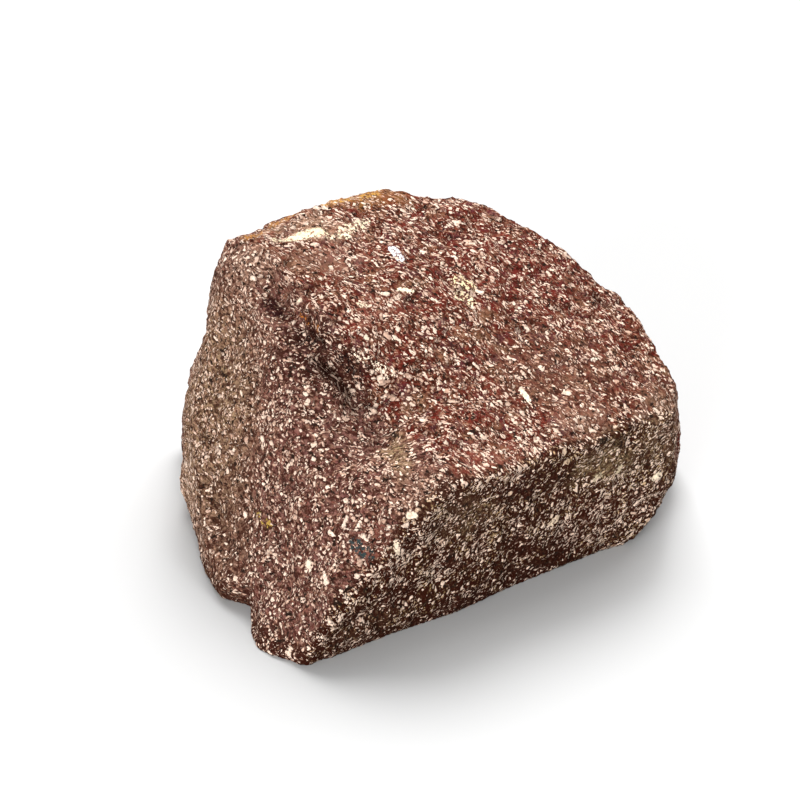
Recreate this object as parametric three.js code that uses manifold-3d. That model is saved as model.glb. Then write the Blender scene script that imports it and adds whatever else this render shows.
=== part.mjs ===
// A rough block of porphyry, broken from a larger mass.
// Millimetres, +Z up: the stone rests on its flat fracture face at z = 0.
import * as THREE from "three";
import Manifold3D from "manifold-3d";
import { ImprovedNoise } from "three/addons/math/ImprovedNoise.js";
import { TessellateModifier } from "three/addons/modifiers/TessellateModifier.js";
import { mergeVertices } from "three/addons/utils/BufferGeometryUtils.js";

// The point inside the stone that every face is measured from.
const HEART = new THREE.Vector3(0, 0, 34);

// The raw block that the faces are cut from.
const RAW_BLOCK = 400;

// The faces are split until no triangle has an edge longer than this.
const LONGEST_EDGE = 6;
const SPLITTING_PASSES = 16;

// Each fracture face has its own direction and its distance from the heart.
// turn: the way the face looks, in degrees from the front, with the right side at 90.
// tilt: how far it leans up from the upright, in degrees.
const FACES = {
  slope: { turn: 34, tilt: 66, reach: 20.8 },
  near_slope: { turn: 43, tilt: 56, reach: 29 },
  crown: { turn: 33, tilt: 76, reach: 27.6 },
  brow: { turn: -15, tilt: 57, reach: 25.4 },
  shoulder_edge: { turn: -35, tilt: 45, reach: 30.5 },
  corner: { turn: -2, tilt: 34, reach: 35 },
  front_right: { turn: 30.5, tilt: 2, reach: 33.8 },
  left: { turn: -84, tilt: 16.7, reach: 65.3 },
  left_foot: { turn: -84, tilt: 4, reach: 69.6 },
  left_front: { turn: -76, tilt: 5, reach: 65.9 },
  left_corner: { turn: -66, tilt: 3, reach: 65.9 },
  toe_foot: { turn: -42, tilt: -4, reach: 71.2 },
  strip: { turn: -151, tilt: 58, reach: 70.2 },
  back_left: { turn: -148, tilt: 10, reach: 73 },
  back: { turn: 176, tilt: 15, reach: 72 },
  back_right: { turn: 143, tilt: 18, reach: 70 },
  right_back: { turn: 112, tilt: 14, reach: 71.3 },
  right: { turn: 80, tilt: 4, reach: 67.8 },
  right_under: { turn: 70, tilt: -35, reach: 64.7 },
  back_under: { turn: 180, tilt: -40, reach: 50 },
  underside: { turn: 0, tilt: -90, reach: HEART.z },
};

// The faces of a valley meet at its floor: wherever two of them overlap, the outer one wins.
const VALLEYS = {
  front_left: {
    shoulder: { turn: -35, tilt: 22, reach: 19.2 },
    trough: { turn: -41, tilt: 29, reach: 30.4 },
    toe: { turn: -48, tilt: 35, reach: 36.4 },
  },
  notch: {
    step: { turn: -27, tilt: 6, reach: 51.6 },
    toe_side: { turn: -81.5, tilt: 6, reach: 52.9 },
  },
};

// Rounded swells, and dents where the rise is below zero, each placed on the surface.
const SWELLS = {
  scoop: { at: [-18, -14, 57], spread: 17, rise: -9 },
  knob: { at: [-74, 11, 9], spread: 6, rise: 2.5 },
  toe_tip: { at: [-49, -52, 2], spread: 8, rise: 3 },
  ledge: { at: [7, -39, 2], spread: 13, rise: 1.6 },
};

// Gentle waves of the broken surface: the length of a wave and how high it stands.
const WAVES = [
  { length: 34, height: 1.6 },
  { length: 15, height: 0.7 },
];

// The relief dies away this near the ground, so that the underside stays flat.
const CALM_HEIGHT = 9;

const STONE = { color: 0x6b4238, roughness: 0.85, metalness: 0 };

function outward({ turn, tilt }) {
  const bearing = THREE.MathUtils.degToRad(turn);
  const rise = THREE.MathUtils.degToRad(tilt);
  return new THREE.Vector3(
    Math.sin(bearing) * Math.cos(rise),
    -Math.cos(bearing) * Math.cos(rise),
    Math.sin(rise),
  );
}

const kernel = await Manifold3D();
kernel.setup();

function rawBlock() {
  const box = new THREE.BoxGeometry(RAW_BLOCK, RAW_BLOCK, RAW_BLOCK);
  box.deleteAttribute("normal");
  box.deleteAttribute("uv");
  const { attributes, index } = mergeVertices(box);
  return new kernel.Manifold(
    new kernel.Mesh({
      numProp: 3,
      vertProperties: Float32Array.from(attributes.position.array),
      triVerts: Uint32Array.from(index.array),
    }),
  );
}

function keepBehind(solid, face) {
  return solid.trimByPlane(outward(face).negate().toArray(), -face.reach);
}

function keepBeyond(solid, face) {
  return solid.trimByPlane(outward(face).toArray(), face.reach);
}

// Takes out whatever stands beyond every face of the valley.
function cutValley(solid, valley) {
  return solid.subtract(Object.values(valley).reduce(keepBeyond, rawBlock()));
}

// The sharp-edged stone, its faces split into small triangles.
function sharpStone() {
  const block = Object.values(FACES).reduce(keepBehind, rawBlock());
  const { vertProperties, triVerts } = Object.values(VALLEYS).reduce(cutValley, block).getMesh();
  const geometry = new THREE.BufferGeometry();
  geometry.setAttribute("position", new THREE.BufferAttribute(Float32Array.from(vertProperties), 3));
  geometry.setIndex(Array.from(triVerts));
  geometry.translate(HEART.x, HEART.y, HEART.z);
  const split = new TessellateModifier(LONGEST_EDGE, SPLITTING_PASSES).modify(geometry);
  return mergeVertices(split, 1e-3);
}

const noise = new ImprovedNoise();

function waviness(point) {
  return WAVES.reduce((sum, { length, height }) => {
    const { x, y, z } = point.clone().divideScalar(length);
    return sum + height * noise.noise(x, y, z);
  }, 0);
}

function swelling(point) {
  return Object.values(SWELLS).reduce((sum, { at, spread, rise }) => {
    const distance = point.distanceTo(new THREE.Vector3(...at));
    return sum + rise * Math.exp(-((distance / spread) ** 2));
  }, 0);
}

// Moves a point away from the middle of the ground, and so never off it, by the relief there.
function bulge(point) {
  const calm = THREE.MathUtils.smoothstep(point.z, 0, CALM_HEIGHT);
  const height = swelling(point) + calm * waviness(point);
  return point.addScaledVector(point.clone().normalize(), height);
}

function stoneGeometry() {
  const geometry = sharpStone();
  const place = geometry.attributes.position;
  const point = new THREE.Vector3();
  for (let index = 0; index < place.count; index += 1) {
    bulge(point.fromBufferAttribute(place, index));
    place.setXYZ(index, point.x, point.y, point.z);
  }
  geometry.computeBoundingBox();
  const middle = geometry.boundingBox.getCenter(new THREE.Vector3());
  geometry.translate(-middle.x, -middle.y, 0);
  geometry.computeVertexNormals();
  return geometry;
}

const stone = new THREE.Mesh(stoneGeometry(), new THREE.MeshStandardMaterial(STONE));
stone.name = "porphyry_block";

const part = new THREE.Group();
part.add(stone);

export default part;
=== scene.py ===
"""A rough block of red porphyry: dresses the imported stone, and sets the floor, the lights and the camera."""
import math

import bmesh
import bpy
from mathutils import Matrix, Vector


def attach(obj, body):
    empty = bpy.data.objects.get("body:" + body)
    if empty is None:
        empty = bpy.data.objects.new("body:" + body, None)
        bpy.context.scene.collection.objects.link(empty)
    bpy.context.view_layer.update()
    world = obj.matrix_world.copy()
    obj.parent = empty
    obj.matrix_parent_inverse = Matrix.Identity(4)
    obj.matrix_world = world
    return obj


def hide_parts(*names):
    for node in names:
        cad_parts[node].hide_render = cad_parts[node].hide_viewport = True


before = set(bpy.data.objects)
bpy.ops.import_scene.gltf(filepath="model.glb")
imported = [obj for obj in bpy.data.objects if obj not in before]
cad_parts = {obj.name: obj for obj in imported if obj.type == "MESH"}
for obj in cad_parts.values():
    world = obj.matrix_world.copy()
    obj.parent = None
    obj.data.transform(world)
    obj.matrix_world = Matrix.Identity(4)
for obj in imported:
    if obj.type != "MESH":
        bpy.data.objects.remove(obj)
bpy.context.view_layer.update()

bl_info = {
    "name": "Porphyry Block",
    "version": (1, 0, 0),
    "blender": (4, 5, 0),
    "location": "View3D > Sidebar > Porphyry",
    "description": "Dresses a rough block of red porphyry and sets its stage",
    "category": "Object",
}

MM = 0.001
STONE_NODE = "porphyry_block"

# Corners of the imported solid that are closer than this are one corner, and points of the finished mesh that
# are this near the ground lie on it.
JOIN_DISTANCE = 0.002 * MM
REST_BAND = 0.25 * MM

# The stage: the point that the camera looks at in millimetres, how wide the lamps look in degrees, the
# floor's width in metres, and how pale it is.
VIEW_TARGET = Vector((-8.4, -6.1, 48.4))
LAMP_WIDTH = 36
FLOOR_SIZE = 6.0
FLOOR_GREY = 0.45

# Lamps: bearing round from the front with the right side at 90, rise in degrees, the setting that their
# strength comes from, and the share of it.
LAMPS = {
    "back_left": (184, 43, "back_strength", 1.0),
    "back_right": (154, 43, "back_strength", 0.65),
    "low_front": (328, 11, "front_strength", 1.0),
}

# The crystals lie flat in one plane, with their length along the old flow of the rock.
FOLIATION = Vector((-0.15, -0.71, 0.69))
FLOW = Vector((0.81, -0.49, -0.33))

# The foliation waves gently: the length of its waves and their height in millimetres.
WAVE_LENGTH = 12.0
WAVE_HEIGHT = 2.5

# How much finer the broken surface's layers are along the flow, across it and through the foliation.
LAYER_STRETCH = (0.7, 1.0, 2.6)

# Below this height in millimetres the surface isn't roughened, so that the underside stays flat.
CALM_START = 0.3

# Swells and hollows: start and end of a line in millimetres, its radius, and how far the surface is moved.
FORMS = {
    "ridge_top": ((-47, 25, 76), (-30, 4, 65), 3.5, (0.0, -0.5, 1.8)),
    "ridge_middle": ((-30, 4, 65), (-12, -7, 56), 4, (0.0, -0.5, 2.0)),
    "ridge_hollow": ((-47, 18, 71), (-31, -4, 60), 6, (0.9, 1.2, -1.9)),
    "ridge_pit": ((-30, -4, 60), (-26, -7, 57), 3.2, (0.4, 1.4, -1.3)),
    "upper_pit": ((-41, 9, 68), (-38, 5, 66), 3.0, (0.6, 1.0, -1.2)),
    "scoop": ((-29, -3, 60), (-21, -11, 52), 6, (0.3, 1.5, -2.3)),
    "top_crease": ((-48, 28, 76), (-22, 15, 70), 2.5, (0.0, 0.0, 0.7)),
    "crease_dip": ((-46, 31, 76), (-20, 20, 71), 4, (0.0, 0.0, -0.8)),
    "left_groove": ((-65, -12, 22), (-58, -29, 12), 4, (1.1, 0.8, 0.0)),
    "foot_ledge": ((-6, -54, 11), (-26, -66, 3), 4, (0.5, -1.0, 0.0)),
    "foot_groove": ((4, -47, 14), (-26, -63, 8), 4, (-0.5, 1.0, 0.0)),
    "shade_groove": ((30, -28, 26), (60, -11, 38), 5, (-0.5, 0.9, 0.0)),
    "edge_dent": ((44, -16, 43), (50, -13, 43), 6, (-0.4, 0.7, -1.3)),
    "toe_tip": ((-31, -67, 0), (-31, -67, 8), 7, (0.3, 1.0, 0.0)),
    "toe_side": ((-46, -59, 0), (-48, -57, 7), 9, (-1.2, -1.6, 0.0)),
    "toe_front": ((-39, -64, 0), (-39, -64, 6), 9, (-0.3, -0.9, 0.0)),
    "left_foot": ((-64, -27, 0), (-58, -38, 5), 12, (-1.1, -1.0, 0.0)),
    "left_flat": ((-75, 32, 26), (-71, 34, 40), 24, (1.9, 0.0, 0.0)),
    "right_foot": ((60, -13, 3), (66, -9, 8), 12, (1.0, -1.2, 0.0)),
    "top_corner": ((-60, 33, 76), (-43, 39, 79), 11, (0.5, 0.0, -2.1)),
    "right_top": ((54, 32, 57), (48, 36, 60), 12, (-0.5, 0.0, -0.9)),
}

# Places where the broken surface is rougher: start, end, radius, and the extra share.
ROUGH_AREAS = {
    "ridge_pits": ((-42, 12, 68), (-18, -14, 50), 9, 1.6),
    "front_pits": ((0, -46, 34), (-26, -60, 10), 8, 0.8),
}

# Weathered or stained sides, and painted shade round the foot: the way they face, where they begin and where
# they are full in millimetres that way, colour, how much of it shows, and their crystals and hollows against
# those of the rest.
SIDES = {
    "mauve_left": ((-0.76, -0.65, 0.0), (18.5, 21.5), (0.215, 0.103, 0.083), 0.85, 1.0, 0.06),
    "olive_front": ((0.51, -0.86, 0.05), (37, 40.5), (0.028, 0.011, 0.004), 1.4, 1.15, 0.115),
    # Painted shade: the sides get darker towards the bottom, where the floor shadows them.
    "painted_foot_shade": ((0.0, 0.0, -1.0), (-8, -1), (0.025, 0.012, 0.007), 0.9, 0.8, 0.07),
}

# Smaller weathered or stained areas, and patches of painted shade: middle and half-widths in millimetres, then
# as for the sides.
AREAS = {
    "olive_left": ((-64, 2, 40), (20, 40, 42), (0.34, 0.235, 0.13), 0.75, 1.0, 0.0),
    "olive_foot": ((-58, -24, 12), (18, 22, 22), (0.17, 0.11, 0.065), 0.6, 0.7, 0.0),
    "red_top": ((22, 34, 64), (34, 18, 14), (0.13, 0.018, 0.015), 0.6, 1.0, 0.0),
    "brown_slope": ((36, 2, 52), (24, 18, 12), (0.145, 0.070, 0.045), 0.6, 0.75, -0.01),
    "pale_slope": ((43, -13, 44), (12, 8, 5), (0.28, 0.15, 0.10), 0.6, 1.2, -0.03),
    "dusty_patch": ((-9, -28, 45), (6, 11, 6), (0.30, 0.21, 0.115), 1.0, 0.5, -0.04),
    "shade_band": ((50, -17, 33), (15, 10, 9), (0.26, 0.185, 0.10), 1.1, 0.55, -0.05),
    "foot_ledge": ((-16, -57, 6), (14, 9, 6), (0.27, 0.185, 0.105), 0.7, 0.8, 0.0),
    "rust_strip": ((-28, 54, 79), (26, 8, 7), (0.42, 0.20, 0.06), 0.8, 1.0, -0.02),
    "pale_strip": ((-34, 38, 77), (20, 7, 5), (0.48, 0.31, 0.20), 0.6, 1.5, -0.02),
    "brown_crease": ((-38, 24, 73), (14, 9, 5), (0.18, 0.095, 0.06), 0.7, 0.55, -0.05),
    # Painted shade in the hollow left of the ridge.
    "painted_hollow_shade": ((-34, 0, 60), (12, 14, 11), (0.085, 0.038, 0.036), 0.75, 1.0, 0.06),
    # Painted shade in the scoop below the ridge.
    "painted_scoop_shade": ((-24, -6, 56.5), (11, 9, 9), (0.035, 0.014, 0.013), 0.7, 0.9, 0.09),
    "tan_right": ((66, -2, 34), (10, 16, 20), (0.27, 0.165, 0.10), 0.65, 1.1, -0.03),
    "pale_corner": ((-3, -40, 40), (13, 10, 10), (0.27, 0.15, 0.10), 0.6, 1.3, -0.02),
    # Painted shade in a strip under the front edge of the top.
    "painted_shade_under_edge": ((30, -29, 34), (18, 11, 7), (0.022, 0.011, 0.012), 1.0, 0.5, 0.08),
    "pale_rim": ((18, -30, 43), (17, 10, 5), (0.26, 0.085, 0.06), 0.6, 1.3, -0.03),
    "pale_corner_foot": ((-14, -51, 28), (9, 8, 14), (0.24, 0.07, 0.045), 0.6, 1.2, -0.03),
    # Painted shade along the foot of the front side.
    "painted_front_foot_shade": ((20, -38, 5), (46, 29, 13), (0.020, 0.008, 0.004), 1.0, 0.55, 0.09),
    "pale_left_edge": ((-71, -3, 10), (9, 16, 14), (0.36, 0.24, 0.15), 0.7, 1.1, -0.02),
    "pale_left_top": ((-53, 25, 72), (10, 12, 9), (0.34, 0.22, 0.15), 0.6, 1.3, -0.03),
    "pale_top": ((-24, 27, 74), (16, 8, 5), (0.30, 0.14, 0.10), 0.5, 1.3, -0.03),
    "pale_ridge": ((-16, 10, 67), (12, 10, 6), (0.24, 0.085, 0.06), 0.5, 1.2, -0.03),
    "olive_rim": ((9, -40, 32), (12, 9, 7), (0.21, 0.145, 0.078), 0.9, 0.75, -0.03),
    "red_foot": ((48, -18, 16), (18, 12, 9), (0.11, 0.022, 0.014), 0.7, 1.0, 0.02),
}

# Where such an area begins and where it is full, against its half-widths.
AREA_EDGE = (1.15, 0.35)

# The edges of sides and areas wander, in bends of the given size and as far as this, in millimetres.
WANDER_SIZE = 7.0
SIDE_WANDER = 5.0
AREA_WANDER = 14.0

# Blotches in the ground: the shift of their noise and its size in millimetres, its detail and roughness, the
# levels where they begin and are full, how much of them shows, and their colour.
BROAD_BLOTCHES = {
    "red": ((0, 0, 0), (5.0, 5.0, 5.0), 3.0, 0.6, (0.44, 0.60), 0.75, "red_ground"),
    "dust": ((40, 10, 70), (7.0, 7.0, 7.0), 3.0, 0.6, (0.54, 0.68), 0.5, "dust"),
    "plum": ((10, 80, 30), (4.0, 4.0, 4.0), 3.0, 0.6, (0.52, 0.64), 0.5, "plum"),
}

# Smaller blotches, which are drawn out along the foliation.
FINE_BLOTCHES = {
    "crumbs": ((3, 7, 5), (1.5, 1.0, 0.38), 2.0, 0.6, (0.56, 0.63), 0.7, "tan_grains"),
    "hollows": ((9, 4, 2), (2.2, 1.5, 0.60), 3.0, 0.7, (0.48, 0.39), 0.85, "dark_ground"),
    "gaps": ((5, 2, 6), (0.9, 0.8, 0.34), 2.0, 0.6, (0.46, 0.37), 0.5, "dark_ground"),
    "specks": ((0, 0, 0), (1.8, 1.8, 0.8), 2.0, 0.6, (0.59, 0.63), 1.0, "dark_grains"),
}

# These blotches grow where a side or an area has more hollows.
HOLLOWS = ("hollows", "gaps")

# Other patterns: the ground's grain, the mottling of the stains, the crowding of the crystals, where the
# front's dullest crystals are olive, fine pale flecks, and the cloudiness of the crystals. Each has its shift,
# size, detail, roughness, the levels where it begins and is full, and the least and the most that it gives.
PATTERNS = {
    "grain": ((0, 0, 0), (1.6, 1.0, 0.42), 4.0, 0.75, (0.40, 0.60), (0.0, 1.0)),
    "mottling": ((0, 0, 0), (1.4, 1.4, 1.4), 3.0, 0.7, (0.38, 0.60), (0.45, 1.0)),
    "crowding": ((0, 0, 0), (4.0, 4.0, 4.0), 3.0, 0.6, (0.38, 0.60), (0.25, 1.25)),
    "olive": ((60, 20, 30), (9.0, 9.0, 9.0), 3.0, 0.55, (0.42, 0.58), (0.0, 1.0)),
    "flecks": ((1, 2, 8), (1.9, 0.8, 0.24), 2.0, 0.5, (0.60, 0.66), (0.0, 0.8)),
    "cloud": ((0, 0, 0), (0.45, 0.45, 0.45), 2.0, 0.55, (0.3, 0.6), (0.75, 1.0)),
}

# The pitting of the surface: its size, detail and roughness.
PITTING = ((2.6, 2.6, 1.0), 3.0, 0.7)

# Feldspar crystals of four sizes, with the values of the group that scatters them.
LATH_INPUTS = ("Spacing", "Layering", "Length", "Slimness", "Thickness", "Share", "Softness")
LATH_LAYERS = {
    "large": (5.0, 0.40, 1.40, 0.64, 0.29, 0.22, 0.06),
    "bold": (3.1, 0.36, 1.22, 0.62, 0.225, 0.34, 0.07),
    "middling": (2.0, 0.32, 0.88, 0.66, 0.215, 0.58, 0.08),
    "small": (1.15, 0.34, 0.56, 0.66, 0.22, 0.72, 0.08),
}

# The room for one crystal along the flow and across it, against its spacing; how far crystals turn from the
# foliation, in radians; and their shortest and longest length, against the one given.
CELL_ALONG = 1.25
CELL_ACROSS = 0.75
LATH_TURN = (0.5, 0.5, 1.2)
LATH_LENGTHS = (0.5, 1.2)

# How deep inside a crystal's edge its relief and its dark rim begin and are full, against its size. Below
# nothing is outside it.
BODY_RANGE = (-0.1, 0.4)
RIM_RANGE = (-0.7, -0.05)
RIM_SHADE = 0.42

# The edges of crystals and marks are ragged. In millimetres: the size of their notches, how deep they are in
# a crystal along the flow, across it and through the foliation, and how deep in a mark.
RAGGED_SIZE = 0.6
RAGGED_CRYSTAL = (0.7, 0.7, 0.3)
RAGGED_MARK = 1.8

# The mauve left side has fewer of the two largest sizes, and the olive front brighter crystals.
COARSE_LAYERS = ("large", "bold")
COARSE_LOSS = -0.25
FRONT_BRIGHTENING = 0.2
BRIGHTNESS_RANGE = (0.0, 0.75)

# Relief of the grain and the pitting in millimetres, and that of a crystal against its length.
GRAIN_RELIEF = 0.6
PIT_RELIEF = 1.4
CRYSTAL_RELIEF = 0.4

# How the rock shines: its ground and its crystals by roughness, and all of it by reflection.
GROUND_ROUGHNESS = 0.95
CRYSTAL_ROUGHNESS = 0.6
REFLECTION = 0.02

# The share of a mark's radius that is solid, the size of the grains that it breaks up into, and how soft
# their edges are.
MARK_CORE = 0.7
MARK_GRAIN = 1.1
MARK_SOFTNESS = 0.05

# Single large crystals, veins and spots, and painted shade in pits along the ridge: start and end in
# millimetres, radius, how broken up, colour.
MARKS = {
    "cream_vein_left": ((-44.5, 33.5, 76.8), (-32, 36.2, 76), 2.2, 0.43, (0.86, 0.74, 0.50)),
    "cream_vein_middle": ((-29, 35.8, 75.4), (-24, 36.5, 75), 1.6, 0.51, (0.90, 0.78, 0.54)),
    "cream_vein_right": ((-25, 38.5, 75.4), (-18.5, 43.5, 75.3), 2.2, 0.51, (0.92, 0.80, 0.56)),
    "rust_rim": ((-53, 34, 77), (-36, 50, 78), 2.6, 0.47, (0.34, 0.155, 0.045)),
    "gold_rim": ((-31, 50, 79), (-16, 57, 78.5), 3.0, 0.49, (0.46, 0.24, 0.06)),
    # Painted shade in the pits along the ridge, which are also modelled as dents.
    "painted_pit_shade_one": ((-46, 14, 66.5), (-43, 11, 66), 2.8, 0.46, (0.03, 0.008, 0.008)),
    "painted_pit_shade_two": ((-37, 5, 64.5), (-33, 0, 61.5), 2.6, 0.50, (0.012, 0.006, 0.005)),
    "painted_pit_shade_three": ((-25, -3, 59), (-20, -8, 54.5), 2.8, 0.53, (0.012, 0.006, 0.006)),
    "painted_pit_shade_four": ((-19, -9, 54), (-13, -12, 51), 2.4, 0.55, (0.012, 0.006, 0.006)),
    "ridge_crystals": ((-21, -2.5, 60.5), (-11, -7, 56.5), 2.0, 0.54, (0.97, 0.80, 0.62)),
    "ridge_crystal": ((-37.5, 10.5, 69.5), (-37, 9, 69), 1.4, 0.36, (0.93, 0.72, 0.55)),
    "pale_blue_spot": ((-10.5, 33.5, 72), (-8.5, 30, 70.7), 1.6, 0.43, (0.84, 0.86, 0.88)),
    "cluster_upper": ((8, 25, 66), (12, 24, 66), 2.6, 0.50, (0.88, 0.72, 0.44)),
    "cluster_lower": ((9, 20, 65), (12, 18, 64), 2.2, 0.50, (0.90, 0.74, 0.48)),
    "top_bar": ((-8.5, 18, 68), (-5, 18, 68), 0.8, 0.36, (0.95, 0.82, 0.60)),
    "top_grain_one": ((-20, 11, 68), (-18, 11, 68), 1.1, 0.44, (0.88, 0.72, 0.52)),
    "top_grain_two": ((-18.5, 2, 63), (-18, 1, 63), 0.9, 0.40, (0.92, 0.78, 0.60)),
    "slope_bar": ((26, -6, 49.5), (28, -9, 49), 0.9, 0.36, (0.95, 0.80, 0.62)),
    "orange_spots": ((-40, 9, 68), (-33, 3, 65), 2.2, 0.52, (0.50, 0.17, 0.03)),
    "edge_crystal": ((-6, -46, 37), (-4.5, -46, 37), 1.2, 0.30, (0.96, 0.78, 0.60)),
    "edge_rod": ((-9.5, -50, 31), (-9, -51, 28), 0.8, 0.36, (0.92, 0.74, 0.56)),
    "grey_cluster": ((-21, -49, 30), (-17, -52, 28), 2.2, 0.50, (0.035, 0.05, 0.05)),
    "yellow_spot": ((-48, -29, 23), (-45, -33, 23), 1.4, 0.53, (0.42, 0.28, 0.06)),
    "shade_crystal": ((34.5, -26, 18), (36.5, -25, 19), 1.0, 0.42, (0.75, 0.58, 0.42)),
    "shade_grain_one": ((47, -19, 28), (48.5, -18, 29), 1.2, 0.46, (0.62, 0.50, 0.34)),
    "shade_grain_two": ((53, -15, 28), (54, -14.5, 29), 1.2, 0.46, (0.62, 0.50, 0.34)),
    "right_crystal": ((65, -8, 20), (66.5, -7, 20.5), 1.1, 0.40, (0.85, 0.70, 0.52)),
    "corner_crystal": ((47, 8, 51), (48.5, 9, 51), 0.9, 0.40, (0.95, 0.82, 0.66)),
    "dark_spot": ((48, -18, 41), (50, -17, 41), 1.6, 0.40, (0.02, 0.012, 0.008)),
    "olive_dash": ((-33, -18, 38), (-30, -21, 36), 1.2, 0.52, (0.16, 0.13, 0.06)),
    "left_rod": ((-29.5, -52, 22), (-28.5, -54, 20), 0.8, 0.36, (0.90, 0.72, 0.58)),
    "foot_crystal": ((-34, -47, 22), (-33.5, -47.5, 20.5), 1.1, 0.36, (0.90, 0.74, 0.58)),
}


class Wiring:
    """Adds nodes to one tree and links them, so that a formula takes a line for each step."""

    def __init__(self, tree):
        self.tree = tree

    def node(self, kind, inputs=None, **settings):
        made = self.tree.nodes.new(kind)
        for name, value in settings.items():
            setattr(made, name, value)
        for socket, value in (inputs or {}).items():
            self.feed(made.inputs[socket], value)
        return made

    def feed(self, socket, value):
        if isinstance(value, bpy.types.NodeSocket):
            self.tree.links.new(value, socket)
        else:
            socket.default_value = value

    def math(self, operation, *operands):
        return self.node("ShaderNodeMath", dict(enumerate(operands)), operation=operation).outputs[0]

    def clamped(self, value):
        return self.node("ShaderNodeClamp", {"Value": value, "Min": 0.0, "Max": 1.0}).outputs[0]

    def vector(self, operation, *operands):
        made = self.node("ShaderNodeVectorMath", dict(enumerate(operands)), operation=operation)
        return made.outputs["Value" if operation in {"LENGTH", "DOT_PRODUCT", "DISTANCE"} else "Vector"]

    def scaled(self, vector, factor):
        made = self.node("ShaderNodeVectorMath", {0: vector, "Scale": factor}, operation="SCALE")
        return made.outputs["Vector"]

    def step(self, value, low, high, floor=0.0, ceiling=1.0):
        """A smooth rise from floor to ceiling as the value goes from low to high, which needs no clamp."""
        inputs = {"Value": value, "From Min": low, "From Max": high, "To Min": floor, "To Max": ceiling}
        made = self.node("ShaderNodeMapRange", inputs, interpolation_type="SMOOTHSTEP", clamp=False)
        return made.outputs["Result"]

    def noise(self, place, size, detail=3.0, rough=0.55, output="Fac"):
        """Noise whose blotches are about the given size, in the units of the place."""
        inputs = {"Vector": self.vector("DIVIDE", place, self.triple(size)), "Scale": 1.0}
        inputs.update({"Detail": detail, "Roughness": rough})
        return self.node("ShaderNodeTexNoise", inputs, noise_dimensions="3D").outputs[output]

    def sway(self, place, size, detail=3.0, rough=0.55):
        """Noise as a vector whose parts go a little each way from nothing."""
        colour = self.noise(place, size, detail, rough, output="Color")
        return self.vector("SUBTRACT", self.as_vector(colour), (0.5, 0.5, 0.5))

    def along_axes(self, place, axes):
        """The place as it is measured along three other axes."""
        parts = {index: self.vector("DOT_PRODUCT", place, tuple(axis)) for index, axis in enumerate(axes)}
        return self.node("ShaderNodeCombineXYZ", parts).outputs[0]

    def as_vector(self, colour):
        """A colour's parts as a vector, without the conversion that a link between the two would add."""
        parts = self.node("ShaderNodeSeparateXYZ", {0: colour}).outputs
        return self.node("ShaderNodeCombineXYZ", {0: parts[0], 1: parts[1], 2: parts[2]}).outputs[0]

    def cells(self, place):
        """One random cell for each unit of the place: its middle and three numbers drawn for it."""
        made = self.node("ShaderNodeTexVoronoi", {"Vector": place, "Scale": 1.0, "Randomness": 1.0})
        return made.outputs["Position"], self.as_vector(made.outputs["Color"])

    def triple(self, value):
        if isinstance(value, bpy.types.NodeSocket):
            return self.node("ShaderNodeCombineXYZ", {0: value, 1: value, 2: value}).outputs[0]
        return tuple(value) if hasattr(value, "__len__") else (value, value, value)

    def blend(self, share, below, above):
        """The colour above laid over the colour below, by its share."""
        made = self.node("ShaderNodeMix", data_type="RGBA", blend_type="MIX", clamp_factor=True)
        self.feed(made.inputs["Factor"], share)
        below_socket, above_socket = [socket for socket in made.inputs if socket.type == "RGBA"]
        self.feed(below_socket, opaque(below))
        self.feed(above_socket, opaque(above))
        return next(socket for socket in made.outputs if socket.type == "RGBA")


def opaque(colour):
    if isinstance(colour, bpy.types.NodeSocket):
        return colour
    return (*colour, 1.0)


def new_group(name, kind, inputs, outputs):
    """A node group with named sockets: its wiring, its input sockets by name, and its output node."""
    tree = bpy.data.node_groups.new(name, kind)
    for label, (socket_type, default) in inputs.items():
        socket = tree.interface.new_socket(label, in_out="INPUT", socket_type=socket_type)
        if default is not None:
            socket.default_value = default
    for label, socket_type in outputs.items():
        tree.interface.new_socket(label, in_out="OUTPUT", socket_type=socket_type)
    wiring = Wiring(tree)
    entry = wiring.node("NodeGroupInput")
    exit_node = wiring.node("NodeGroupOutput")
    return tree, wiring, entry.outputs, exit_node.inputs


FLOAT = "NodeSocketFloat"
VECTOR = "NodeSocketVector"


def near_line_group(kind):
    """How near the place is to a line: 1 inside the core share of the radius, 0 beyond the radius."""
    inputs = {
        "Place": (VECTOR, None),
        "Start": (VECTOR, None),
        "End": (VECTOR, None),
        "Radius": (FLOAT, 1.0),
        "Core": (FLOAT, 0.0),
    }
    tree, wiring, given, result = new_group("near_line", kind, inputs, {"Mask": FLOAT})
    along = wiring.vector("SUBTRACT", given["End"], given["Start"])
    arm = wiring.vector("SUBTRACT", given["Place"], given["Start"])
    length = wiring.vector("DOT_PRODUCT", along, along)
    share = wiring.clamped(wiring.math("DIVIDE", wiring.vector("DOT_PRODUCT", arm, along), length))
    distance = wiring.vector("DISTANCE", arm, wiring.scaled(along, share))
    reach = wiring.math("DIVIDE", distance, given["Radius"])
    wiring.feed(result["Mask"], wiring.step(reach, 1.0, given["Core"]))
    return tree


def near_line_mask(wiring, group_node, tree, place, start, end, radius, core=0.0):
    inputs = {"Place": place, "Start": start, "End": end, "Radius": radius, "Core": core}
    return wiring.node(group_node, inputs, node_tree=tree).outputs["Mask"]


def foliation_place(wiring, place):
    """The same point turned so that the wavy foliation lies level and the flow runs along x."""
    up = FOLIATION.normalized()
    across = up.cross(FLOW).normalized()
    turned = wiring.along_axes(place, (across.cross(up), across, up))
    waves = wiring.vector("MULTIPLY", wiring.sway(place, WAVE_LENGTH, 1.0), (0.0, 0.0, WAVE_HEIGHT))
    return wiring.vector("ADD", turned, waves)


# --- The broken surface ---------------------------------------------------------------------------

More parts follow.
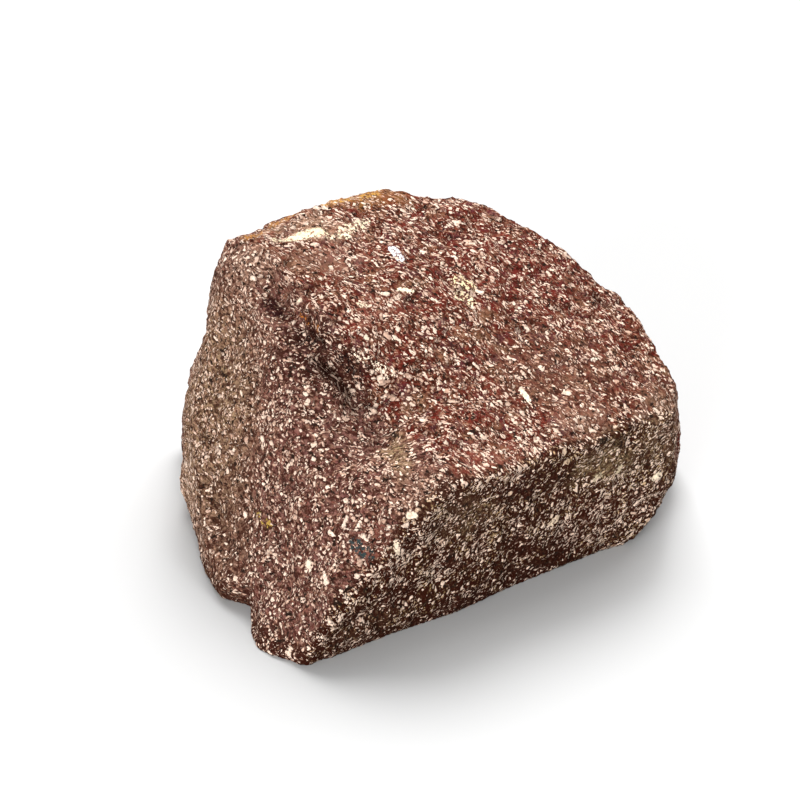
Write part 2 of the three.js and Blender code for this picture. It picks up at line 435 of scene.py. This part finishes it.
def facet_relief(wiring, place, size, height):
    """Flat chips of about the given size, each leaning its own way, with small steps between them."""
    spread = wiring.vector("DIVIDE", place, wiring.triple(size))
    middle, numbers = wiring.cells(spread)
    lean = wiring.vector("SUBTRACT", numbers, (0.5, 0.5, 0.5))
    rise = wiring.vector("DOT_PRODUCT", wiring.vector("SUBTRACT", spread, middle), lean)
    return wiring.math("MULTIPLY", rise, height)


def bumps(wiring, place, size, height, detail=2.0):
    """Rounded bumps of about the given size that rise and sink by about the height."""
    centred = wiring.math("SUBTRACT", wiring.noise(place, size, detail), 0.5)
    return wiring.math("MULTIPLY", centred, wiring.math("MULTIPLY", height, 2.0))


def broken_surface_tree():
    """Geometry nodes that shape and roughen a stone, and keep its underside flat."""
    inputs = {
        "Geometry": ("NodeSocketGeometry", None),
        "Chip Size": (FLOAT, 9.0),
        "Chip Height": (FLOAT, 1.4),
        "Flake Size": (FLOAT, 4.0),
        "Flake Height": (FLOAT, 0.7),
        "Lump Size": (FLOAT, 7.0),
        "Lump Height": (FLOAT, 0.8),
        "Layer Size": (FLOAT, 3.0),
        "Layer Height": (FLOAT, 0.4),
        "Grain Size": (FLOAT, 2.2),
        "Grain Height": (FLOAT, 0.3),
        "Undercut Height": (FLOAT, 7.0),
        "Undercut Share": (FLOAT, 0.010),
        "Calm Height": (FLOAT, 1.5),
        "Material": ("NodeSocketMaterial", None),
    }
    tree, wiring, given, result = new_group(
        "broken_surface", "GeometryNodeTree", inputs, {"Geometry": "NodeSocketGeometry"}
    )
    place = wiring.scaled(wiring.node("GeometryNodeInputPosition").outputs[0], 1.0 / MM)
    normal = wiring.node("GeometryNodeInputNormal").outputs[0]
    near_line = near_line_group("GeometryNodeTree")
    chips = facet_relief(wiring, place, given["Chip Size"], given["Chip Height"])
    flakes = facet_relief(wiring, place, given["Flake Size"], given["Flake Height"])
    lumps = bumps(wiring, place, given["Lump Size"], given["Lump Height"])
    grain = bumps(wiring, place, given["Grain Size"], given["Grain Height"])
    stretched = wiring.vector("MULTIPLY", foliation_place(wiring, place), LAYER_STRETCH)
    layers = bumps(wiring, stretched, given["Layer Size"], given["Layer Height"])
    relief = wiring.math("ADD", wiring.math("ADD", chips, flakes), wiring.math("ADD", lumps, grain))
    relief = wiring.math("ADD", relief, layers)
    for start, end, radius, extra in ROUGH_AREAS.values():
        mask = near_line_mask(wiring, "GeometryNodeGroup", near_line, place, start, end, radius)
        relief = wiring.math("MULTIPLY", relief, wiring.math("MULTIPLY_ADD", mask, extra, 1.0))
    level = wiring.node("ShaderNodeSeparateXYZ", {0: place}).outputs["Z"]
    calm = wiring.step(level, CALM_START, given["Calm Height"])
    offset = wiring.scaled(normal, wiring.math("MULTIPLY", relief, calm))
    low = wiring.math("MULTIPLY", wiring.step(level, given["Undercut Height"], 0.0), given["Undercut Share"])
    drawn_in = wiring.scaled(wiring.vector("MULTIPLY", place, (-1.0, -1.0, 0.0)), low)
    offset = wiring.vector("ADD", offset, drawn_in)
    for start, end, radius, push in FORMS.values():
        mask = near_line_mask(wiring, "GeometryNodeGroup", near_line, place, start, end, radius)
        offset = wiring.vector("ADD", offset, wiring.scaled(push, mask))
    moved = wiring.node(
        "GeometryNodeSetPosition", {"Geometry": given["Geometry"], "Offset": wiring.scaled(offset, MM)}
    )
    realized = wiring.node("GeometryNodeRealizeInstances", {"Geometry": moved.outputs[0]})
    painted = wiring.node(
        "GeometryNodeSetMaterial", {"Geometry": realized.outputs[0], "Material": given["Material"]}
    )
    wiring.feed(result["Geometry"], painted.outputs[0])
    return tree


def merged_copy(node_name, name):
    """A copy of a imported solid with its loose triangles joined."""
    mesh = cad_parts[node_name].data.copy()
    mesh.name = name
    mesh.materials.clear()
    work = bmesh.new()
    work.from_mesh(mesh)
    bmesh.ops.remove_doubles(work, verts=work.verts, dist=JOIN_DISTANCE)
    work.to_mesh(mesh)
    work.free()
    piece = bpy.data.objects.new(name, mesh)
    bpy.context.scene.collection.objects.link(piece)
    return piece


def settle_modifiers(piece):
    """Turns the piece with its modifiers into a plain mesh."""
    graph = bpy.context.evaluated_depsgraph_get()
    mesh = bpy.data.meshes.new_from_object(piece.evaluated_get(graph))
    piece.modifiers.clear()
    spent = piece.data
    piece.data = mesh
    mesh.name = piece.name
    bpy.data.meshes.remove(spent)


def set_inputs(modifier, values):
    """Sets a geometry nodes modifier's inputs by their sockets' identifiers."""
    for item in modifier.node_group.interface.items_tree:
        if item.item_type == "SOCKET" and item.in_out == "INPUT" and item.name in values:
            modifier[item.identifier] = values[item.name]


def rest_flat(mesh):
    """Lays every point that is near the ground on it."""
    for vertex in mesh.vertices:
        if vertex.co.z < REST_BAND:
            vertex.co.z = 0.0


# --- The rock's look ------------------------------------------------------------------------------

def laths_group():
    """Flat feldspar crystals scattered through the rock: where they are, their tint and their relief."""
    inputs = {
        "Place": (VECTOR, None),
        "Spacing": (FLOAT, 2.0),
        "Layering": (FLOAT, 0.5),
        "Length": (FLOAT, 1.0),
        "Slimness": (FLOAT, 0.45),
        "Thickness": (FLOAT, 0.35),
        "Share": (FLOAT, 0.8),
        "Softness": (FLOAT, 0.15),
    }
    outputs = {"Mask": FLOAT, "Tint": FLOAT, "Body": FLOAT, "Rim": FLOAT}
    tree, wiring, given, result = new_group("feldspar_laths", "ShaderNodeTree", inputs, outputs)
    through = wiring.math("MULTIPLY", given["Spacing"], given["Layering"])
    along = wiring.math("MULTIPLY", given["Spacing"], CELL_ALONG)
    beside = wiring.math("MULTIPLY", given["Spacing"], CELL_ACROSS)
    spacing = wiring.node("ShaderNodeCombineXYZ", {0: along, 1: beside, 2: through}).outputs[0]
    spread = wiring.vector("DIVIDE", given["Place"], spacing)
    middle, numbers = wiring.cells(spread)
    arm = wiring.vector("MULTIPLY", wiring.vector("SUBTRACT", spread, middle), spacing)
    turn = wiring.vector("MULTIPLY", wiring.vector("SUBTRACT", numbers, (0.5, 0.5, 0.5)), LATH_TURN)
    turned = wiring.node(
        "ShaderNodeVectorRotate", {"Vector": arm, "Rotation": turn}, rotation_type="EULER_XYZ"
    )
    chance = wiring.node("ShaderNodeTexWhiteNoise", {"Vector": middle}, noise_dimensions="3D")
    longer = wiring.step(chance.outputs["Value"], 0.0, 1.0, *LATH_LENGTHS)
    length = wiring.math("MULTIPLY", given["Length"], longer)
    width = wiring.math("MULTIPLY", length, given["Slimness"])
    depth = wiring.math("MULTIPLY", length, given["Thickness"])
    extent = wiring.node("ShaderNodeCombineXYZ", {0: length, 1: width, 2: depth}).outputs[0]
    ratio = wiring.vector("DIVIDE", turned.outputs[0], extent)
    sides = wiring.vector("ABSOLUTE", ratio)
    sides = [wiring.vector("DOT_PRODUCT", sides, axis) for axis in ((1, 0, 0), (0, 1, 0), (0, 0, 1))]
    boxy = wiring.math("MAXIMUM", wiring.math("MAXIMUM", sides[0], sides[1]), sides[2])
    rounded = wiring.vector("LENGTH", ratio)
    reach = wiring.math("ADD", wiring.math("MULTIPLY", boxy, 0.5), wiring.math("MULTIPLY", rounded, 0.5))
    inside = wiring.math("SUBTRACT", 1.0, reach)
    draw = wiring.node("ShaderNodeSeparateXYZ", {0: chance.outputs["Color"]})
    kept = wiring.math("LESS_THAN", draw.outputs[1], given["Share"])
    wiring.feed(result["Mask"], wiring.math("MULTIPLY", wiring.step(inside, 0.0, given["Softness"]), kept))
    wiring.feed(result["Tint"], draw.outputs[2])
    wiring.feed(result["Body"], wiring.math("MULTIPLY", wiring.step(inside, *BODY_RANGE), kept))
    wiring.feed(result["Rim"], wiring.math("MULTIPLY", wiring.step(inside, *RIM_RANGE), kept))
    return tree


def stain_and_shade_area_group():
    """A soft-edged area of the surface around a middle point."""
    inputs = {"Place": (VECTOR, None), "Middle": (VECTOR, None), "Half Widths": (VECTOR, (1.0, 1.0, 1.0))}
    tree, wiring, given, result = new_group("stain_and_shade_area", "ShaderNodeTree", inputs, {"Mask": FLOAT})
    arm = wiring.vector("SUBTRACT", given["Place"], given["Middle"])
    reach = wiring.vector("LENGTH", wiring.vector("DIVIDE", arm, given["Half Widths"]))
    wiring.feed(result["Mask"], wiring.step(reach, *AREA_EDGE))
    return tree


def stains_and_painted_shade(wiring, firm, loose):
    """How far each stain and each patch of painted shade shows, with what it brings.

    Each mask is wired only when it is asked for, so that a renderer holds few of them at once.
    """
    for name, (facing, (begin, full), *rest) in SIDES.items():
        level = wiring.vector("DOT_PRODUCT", firm, facing)
        yield name, wiring.step(level, begin, full), *rest
    stain_and_shade_area = stain_and_shade_area_group()
    for name, (middle, half_widths, *rest) in AREAS.items():
        inputs = {"Place": loose, "Middle": middle, "Half Widths": half_widths}
        area = wiring.node("ShaderNodeGroup", inputs, node_tree=stain_and_shade_area, label=name)
        yield name, area.outputs["Mask"], *rest


def place_in_mm(wiring):
    """The point on the stone in millimetres, as it lies."""
    coordinates = wiring.node("ShaderNodeTexCoord")
    return wiring.scaled(coordinates.outputs["Object"], 1.0 / MM)


def pattern(wiring, place, name):
    """One of the patterns, and the noise that it is taken from."""
    shift, size, detail, rough, levels, amounts = PATTERNS[name]
    level = wiring.noise(wiring.vector("ADD", place, shift), size, detail, rough)
    return wiring.step(level, *levels, *amounts), level


def blotched(wiring, ground, place, blotches, looks, hollowing=0.0):
    """The ground with blotches laid over it, and the more hollowing, the larger the hollows."""
    for name, (shift, size, detail, rough, (begin, full), share, colour) in blotches.items():
        level = wiring.noise(wiring.vector("ADD", place, shift), size, detail, rough)
        if name in HOLLOWS:
            level = wiring.math("SUBTRACT", level, hollowing)
        shown = wiring.step(level, begin, full, 0.0, share)
        ground = wiring.blend(shown, ground, getattr(looks, colour))
    return ground


def ground_colour(wiring, place, laid, grain, looks):
    """The ground mass with its stains and painted shade: its colour, how crowded its crystals are, and the
    mask of each stain and each patch of painted shade.
    """
    ground = wiring.blend(grain, looks.dark_ground, looks.ground)
    ground = blotched(wiring, ground, place, BROAD_BLOTCHES, looks)
    wander = wiring.sway(place, WANDER_SIZE)
    firm = wiring.vector("ADD", place, wiring.scaled(wander, SIDE_WANDER))
    loose = wiring.vector("ADD", place, wiring.scaled(wander, AREA_WANDER))
    mottling, _ = pattern(wiring, place, "mottling")
    crowding, _ = pattern(wiring, place, "crowding")
    hollowing = 0.0
    masks = {}
    for name, mask, colour, strength, crystals, hollows in stains_and_painted_shade(wiring, firm, loose):
        masks[name] = mask
        shown = wiring.math("MULTIPLY", wiring.math("MULTIPLY", mask, strength), mottling)
        ground = wiring.blend(shown, ground, colour)
        change = wiring.math("MULTIPLY_ADD", mask, crystals - 1.0, 1.0)
        crowding = wiring.math("MULTIPLY", crowding, change)
        hollowing = wiring.math("MULTIPLY_ADD", mask, hollows, hollowing)
    ground = blotched(wiring, ground, laid, FINE_BLOTCHES, looks, hollowing)
    return ground, crowding, masks


def lath_layers(wiring, place, crowding, mauve):
    """The four sizes of crystal, each with its outputs and its length."""
    laths = laths_group()
    coarse_share = wiring.math("MULTIPLY_ADD", mauve, COARSE_LOSS, 1.0)
    layers = []
    for name, settings in LATH_LAYERS.items():
        values = dict(zip(LATH_INPUTS, settings))
        kept = wiring.math("MULTIPLY", crowding, values["Share"])
        if name in COARSE_LAYERS:
            kept = wiring.math("MULTIPLY", kept, coarse_share)
        inputs = {**values, "Place": place, "Share": kept}
        layer = wiring.node("ShaderNodeGroup", inputs, node_tree=laths, label=name)
        layers.append((layer.outputs, values["Length"]))
    return layers


def marked(wiring, colour, place, ragged):
    """The colour with the single crystals, veins, spots and painted pit shade laid over it."""
    near_line = near_line_group("ShaderNodeTree")
    frayed = wiring.vector("ADD", place, wiring.scaled(ragged, RAGGED_MARK))
    grit = wiring.noise(place, MARK_GRAIN, 3.0, 0.7)
    for start, end, radius, broken, tint in MARKS.values():
        mask = near_line_mask(
            wiring, "ShaderNodeGroup", near_line, frayed, start, end, radius, MARK_CORE
        )
        mask = wiring.math("MULTIPLY", mask, wiring.step(grit, broken, broken + MARK_SOFTNESS))
        colour = wiring.blend(mask, colour, tint)
    return colour


def porphyry_material(looks):
    """The rock: a ground with stains and painted shade, crystals over it, single marks over both with painted
    pit shade among them, and the relief of them all.
    """
    material = bpy.data.materials.new("red_porphyry")
    material.use_nodes = True
    tree = material.node_tree
    tree.nodes.clear()
    wiring = Wiring(tree)
    place = place_in_mm(wiring)
    laid = foliation_place(wiring, place)
    grain, grain_level = pattern(wiring, laid, "grain")
    ground, crowding, masks = ground_colour(wiring, place, laid, grain, looks)

    olive, _ = pattern(wiring, place, "olive")
    olive = wiring.math("MULTIPLY", masks["olive_front"], olive)
    dull_crystal = wiring.blend(olive, looks.dull_crystal, looks.olive_crystal)
    ragged = wiring.sway(place, RAGGED_SIZE, 3.0, 0.7)
    lath_place = wiring.vector("ADD", laid, wiring.vector("MULTIPLY", ragged, RAGGED_CRYSTAL))
    layers = lath_layers(wiring, lath_place, crowding, masks["mauve_left"])

    flecks, _ = pattern(wiring, laid, "flecks")
    colour = wiring.blend(wiring.math("MULTIPLY", flecks, crowding), ground, dull_crystal)
    for outputs, _ in layers:
        shade = wiring.math("MULTIPLY", outputs["Rim"], RIM_SHADE)
        colour = wiring.blend(shade, colour, looks.dark_ground)
    height = wiring.math("MULTIPLY", grain_level, GRAIN_RELIEF)
    cloud, _ = pattern(wiring, place, "cloud")
    cover = 0.0
    for outputs, length in layers:
        brightness = wiring.math(
            "MULTIPLY_ADD", masks["olive_front"], FRONT_BRIGHTENING, outputs["Tint"]
        )
        brightness = wiring.step(brightness, *BRIGHTNESS_RANGE)
        tint = wiring.blend(brightness, dull_crystal, looks.cream_crystal)
        crystal = wiring.blend(cloud, (0.0, 0.0, 0.0), tint)
        colour = wiring.blend(outputs["Mask"], colour, crystal)
        relief = wiring.math("MULTIPLY", outputs["Body"], CRYSTAL_RELIEF * length)
        height = wiring.math("ADD", height, relief)
        cover = wiring.math("MAXIMUM", cover, outputs["Mask"])
    colour = marked(wiring, colour, place, ragged)

    pitting = wiring.noise(laid, *PITTING)
    height = wiring.math("ADD", height, wiring.math("MULTIPLY", pitting, PIT_RELIEF))
    bump = wiring.node("ShaderNodeBump", {"Strength": 1.0, "Distance": 1.0 * MM, "Height": height})
    shader = wiring.node("ShaderNodeBsdfPrincipled")
    wiring.feed(shader.inputs["Base Color"], colour)
    roughness = wiring.step(cover, 0.0, 1.0, GROUND_ROUGHNESS, CRYSTAL_ROUGHNESS)
    wiring.feed(shader.inputs["Roughness"], roughness)
    wiring.feed(shader.inputs["Normal"], bump.outputs["Normal"])
    shader.inputs["Specular IOR Level"].default_value = REFLECTION
    output = wiring.node("ShaderNodeOutputMaterial")
    wiring.feed(output.inputs["Surface"], shader.outputs["BSDF"])
    return material


class StoneLooks(bpy.types.PropertyGroup):
    """Sizes and colours of the rock."""

    voxel: bpy.props.FloatProperty(
        name="Mesh Fineness", description="Edge length of the finished mesh", default=0.8 * MM, unit="LENGTH"
    )
    wear: bpy.props.IntProperty(
        name="Edge Wear", description="How often the edges are rubbed down", default=6, min=0
    )
    ground: bpy.props.FloatVectorProperty(
        name="Ground", description="Colour of the fine ground mass", subtype="COLOR",
        default=(0.165, 0.045, 0.027),
    )
    dark_ground: bpy.props.FloatVectorProperty(
        name="Dark Ground", description="Colour of its hollows", subtype="COLOR",
        default=(0.028, 0.006, 0.003),
    )
    red_ground: bpy.props.FloatVectorProperty(
        name="Red Ground", description="Colour of its red areas", subtype="COLOR",
        default=(0.130, 0.015, 0.010),
    )
    dust: bpy.props.FloatVectorProperty(
        name="Dust", description="Colour of its dusty areas", subtype="COLOR", default=(0.27, 0.145, 0.078)
    )
    plum: bpy.props.FloatVectorProperty(
        name="Plum", description="Colour of its plum areas", subtype="COLOR", default=(0.085, 0.032, 0.042)
    )
    dark_grains: bpy.props.FloatVectorProperty(
        name="Dark Grains", description="Colour of the dark mineral grains", subtype="COLOR",
        default=(0.018, 0.010, 0.007),
    )
    tan_grains: bpy.props.FloatVectorProperty(
        name="Tan Grains", description="Colour of the fine tan grains", subtype="COLOR",
        default=(0.37, 0.205, 0.13),
    )
    cream_crystal: bpy.props.FloatVectorProperty(
        name="Cream Crystals", description="Palest crystals", subtype="COLOR", default=(0.98, 0.75, 0.60)
    )
    dull_crystal: bpy.props.FloatVectorProperty(
        name="Dull Crystals", description="Dullest crystals", subtype="COLOR", default=(0.57, 0.35, 0.255)
    )
    olive_crystal: bpy.props.FloatVectorProperty(
        name="Olive Crystals", description="Dullest crystals of the front side", subtype="COLOR",
        default=(0.50, 0.33, 0.16),
    )


class StageLooks(bpy.types.PropertyGroup):
    """The floor, the lights and the camera."""

    view_height: bpy.props.FloatProperty(
        name="Viewing Angle", description="How far the camera looks down", default=math.radians(36),
        subtype="ANGLE",
    )
    view_distance: bpy.props.FloatProperty(
        name="Viewing Distance", description="From the camera to the point that it looks at",
        default=628 * MM, unit="LENGTH",
    )
    lens: bpy.props.FloatProperty(name="Lens", description="Focal length in millimetres", default=100.0)
    back_strength: bpy.props.FloatProperty(
        name="Back Lights", description="Strength of the wide lights behind the stone", default=4.6
    )
    front_strength: bpy.props.FloatProperty(
        name="Low Light", description="Strength of the low light from the front left", default=4.5
    )
    sky_strength: bpy.props.FloatProperty(name="Sky", description="Strength of the even light", default=0.58)


class PORPHYRY_OT_stone(bpy.types.Operator):
    """Makes the finished stone and puts it in the place of the plain solid"""

    bl_idname = "porphyry.stone"
    bl_label = "Stone"

    def execute(self, context):
        looks = context.scene.porphyry_stone
        stone = merged_copy(STONE_NODE, "rough_porphyry")
        remesh = stone.modifiers.new("even_mesh", "REMESH")
        remesh.mode = "VOXEL"
        remesh.voxel_size = looks.voxel
        rub = stone.modifiers.new("edge_wear", "SMOOTH")
        rub.factor = 0.5
        rub.iterations = looks.wear
        roughen = stone.modifiers.new("broken_surface", "NODES")
        roughen.node_group = broken_surface_tree()
        set_inputs(roughen, {"Material": porphyry_material(looks)})
        settle_modifiers(stone)
        rest_flat(stone.data)
        stone.data.shade_smooth()
        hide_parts(STONE_NODE)
        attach(stone, "root")
        return {"FINISHED"}


def floor_material():
    material = bpy.data.materials.new("pale_floor")
    material.use_nodes = True
    shader = material.node_tree.nodes["Principled BSDF"]
    shader.inputs["Base Color"].default_value = (FLOOR_GREY, FLOOR_GREY, FLOOR_GREY, 1.0)
    shader.inputs["Roughness"].default_value = 0.9
    shader.inputs["Specular IOR Level"].default_value = 0.0
    return material


def add_floor():
    work = bmesh.new()
    bmesh.ops.create_grid(work, x_segments=1, y_segments=1, size=FLOOR_SIZE / 2)
    mesh = bpy.data.meshes.new("floor")
    work.to_mesh(mesh)
    work.free()
    mesh.materials.append(floor_material())
    floor = bpy.data.objects.new("floor", mesh)
    bpy.context.scene.collection.objects.link(floor)


def aimed_at(place, target):
    """Where a camera or light sits and how it is turned to look at the target."""
    look = (target - place).to_track_quat("-Z", "Y")
    return Matrix.Translation(place) @ look.to_matrix().to_4x4()


def add_wide_light(name, bearing, rise, strength):
    """An even light from far off."""
    light = bpy.data.lights.new(name, "SUN")
    light.energy = strength
    light.angle = math.radians(LAMP_WIDTH)
    bearing, rise = math.radians(bearing), math.radians(rise)
    toward = Vector(
        (math.sin(bearing) * math.cos(rise), -math.cos(bearing) * math.cos(rise), math.sin(rise))
    )
    lamp = bpy.data.objects.new(name, light)
    lamp.matrix_world = aimed_at(toward, Vector((0.0, 0.0, 0.0)))
    bpy.context.scene.collection.objects.link(lamp)


class PORPHYRY_OT_stage(bpy.types.Operator):
    """Makes the floor, the lights and the camera"""

    bl_idname = "porphyry.stage"
    bl_label = "Stage"

    def execute(self, context):
        stage = context.scene.porphyry_stage
        add_floor()
        for name, (bearing, rise, setting, share) in LAMPS.items():
            add_wide_light(name, bearing, rise, getattr(stage, setting) * share)
        world = bpy.data.worlds.new("soft_sky")
        world.use_nodes = True
        background = world.node_tree.nodes["Background"]
        background.inputs["Color"].default_value = (1.0, 1.0, 1.0, 1.0)
        background.inputs["Strength"].default_value = stage.sky_strength
        context.scene.world = world
        context.scene.view_settings.view_transform = "Standard"
        target = VIEW_TARGET * MM
        angle = stage.view_height
        arm = Vector((0.0, -math.cos(angle), math.sin(angle))) * stage.view_distance
        lens = bpy.data.cameras.new("camera")
        lens.lens = stage.lens
        lens.clip_start = 0.01
        camera = bpy.data.objects.new("camera", lens)
        camera.matrix_world = aimed_at(target + arm, target)
        context.scene.collection.objects.link(camera)
        context.scene.camera = camera
        return {"FINISHED"}


class PORPHYRY_PT_panel(bpy.types.Panel):
    """Lists the pieces and their settings"""

    bl_idname = "PORPHYRY_PT_panel"
    bl_label = "Porphyry Block"
    bl_space_type = "VIEW_3D"
    bl_region_type = "UI"
    bl_category = "Porphyry"

    def draw(self, context):
        for operator, settings in (
            (PORPHYRY_OT_stone, context.scene.porphyry_stone),
            (PORPHYRY_OT_stage, context.scene.porphyry_stage),
        ):
            box = self.layout.box()
            box.operator(operator.bl_idname)
            for name in type(settings).__annotations__:
                box.prop(settings, name)


CLASSES = (StoneLooks, StageLooks, PORPHYRY_OT_stone, PORPHYRY_OT_stage, PORPHYRY_PT_panel)


def register():
    for item in CLASSES:
        bpy.utils.register_class(item)
    bpy.types.Scene.porphyry_stone = bpy.props.PointerProperty(type=StoneLooks)
    bpy.types.Scene.porphyry_stage = bpy.props.PointerProperty(type=StageLooks)


def unregister():
    del bpy.types.Scene.porphyry_stage
    del bpy.types.Scene.porphyry_stone
    for item in reversed(CLASSES):
        bpy.utils.unregister_class(item)


def main():
    register()
    bpy.ops.porphyry.stone()
    bpy.ops.porphyry.stage()


if __name__ == "__main__":
    main()
